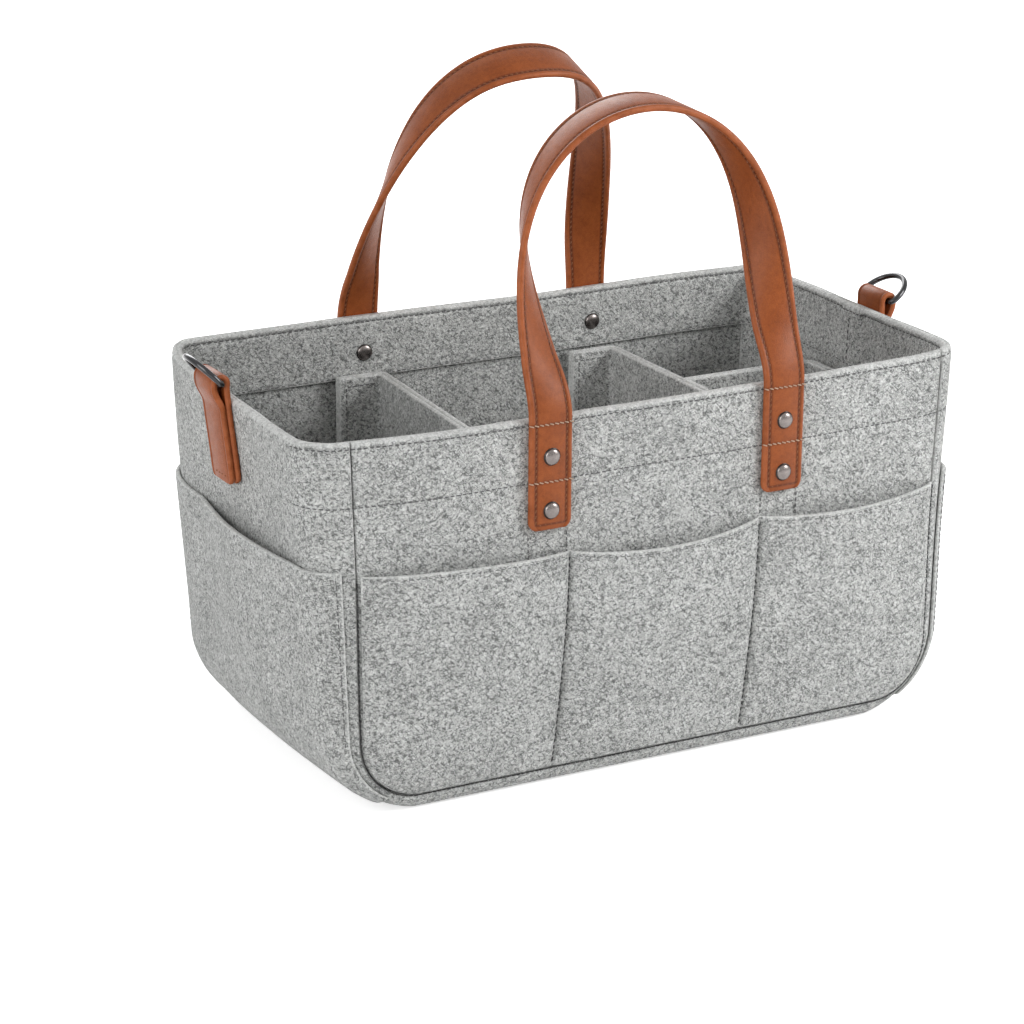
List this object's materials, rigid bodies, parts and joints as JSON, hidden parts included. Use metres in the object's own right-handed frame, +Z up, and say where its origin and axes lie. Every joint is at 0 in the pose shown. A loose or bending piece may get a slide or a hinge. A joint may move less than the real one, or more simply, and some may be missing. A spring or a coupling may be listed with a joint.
{
  "type": "felt storage caddy",
  "caption": "Soft felt organizer box with outside pockets, inside dividers, riveted leather strap handles and D-rings on its ends.",
  "frame": {"origin": "middle of the underside, on the surface it stands on", "axes": "+X along the length, from the end with the one open compartment to the end with the cross divider; +Z up; -Y is the front, whose strap ends sit nearer the middle"},
  "size_m": [0.4217, 0.2178, 0.354],
  "materials": {
    "felt": "pressed light grey felt with dark and white fibres",
    "leather": "tan leather, fine grain, satin",
    "rivet_metal": "dark nickel, polished",
    "ring_metal": "black nickel, polished",
    "board": "stiff hardboard, hidden"
  },
  "bodies": {
    "box": {"gusset": "felt", "front_panel": "felt", "back_panel": "felt", "rim_facing": "felt", "front_pocket": "felt", "back_pocket": "felt", "left_side_pocket": "felt", "right_side_pocket": "felt", "base_liner": "felt", "left_divider": "felt", "right_divider": "felt", "front_left_anchor": "leather", "front_right_anchor": "leather", "rear_left_anchor": "leather", "rear_right_anchor": "leather", "left_tab": "leather", "right_tab": "leather", "front_left_upper_rivet_cap": "rivet_metal", "front_left_upper_rivet_back": "rivet_metal", "front_left_lower_rivet_cap": "rivet_metal", "front_left_lower_rivet_back": "rivet_metal", "front_right_upper_rivet_cap": "rivet_metal", "front_right_upper_rivet_back": "rivet_metal", "front_right_lower_rivet_cap": "rivet_metal", "front_right_lower_rivet_back": "rivet_metal", "rear_left_upper_rivet_cap": "rivet_metal", "rear_left_upper_rivet_back": "rivet_metal", "rear_left_lower_rivet_cap": "rivet_metal", "rear_left_lower_rivet_back": "rivet_metal", "rear_right_upper_rivet_cap": "rivet_metal", "rear_right_upper_rivet_back": "rivet_metal", "rear_right_lower_rivet_cap": "rivet_metal", "rear_right_lower_rivet_back": "rivet_metal", "base_board": "board"},
    "front_handle_strap": {"front_handle": "leather"},
    "rear_handle_strap": {"rear_handle": "leather"},
    "left_ring": {"left_d_ring": "ring_metal"},
    "right_ring": {"right_d_ring": "ring_metal"},
    "divider_insert": {"cross_divider": "felt"}
  },
  "joints": [
    {"name": "front_handle_flex", "type": "hinge", "parent": "box", "child": "front_handle_strap", "pos_m": [0, -0.1021, 0.203], "axis": [1, 0, 0], "range_deg": [-10, 88], "stiffness_Nm_per_rad": 0.6},
    {"name": "rear_handle_flex", "type": "hinge", "parent": "box", "child": "rear_handle_strap", "pos_m": [0, 0.1021, 0.203], "axis": [-1, 0, 0], "range_deg": [-12, 88], "stiffness_Nm_per_rad": 0.6},
    {"name": "left_ring_swing", "type": "hinge", "parent": "box", "child": "left_ring", "pos_m": [-0.20145, 0, 0.2095], "axis": [0, 1, 0], "range_deg": [-108, 148]},
    {"name": "right_ring_swing", "type": "hinge", "parent": "box", "child": "right_ring", "pos_m": [0.19045, -0.011, 0.2075], "axis": [0, -1, 0], "range_deg": [-96, 110]},
    {"name": "cross_divider_lift", "type": "slide", "parent": "box", "child": "divider_insert", "axis": [0, 0, 1], "range_m": [0, 0.16]}
  ]
}
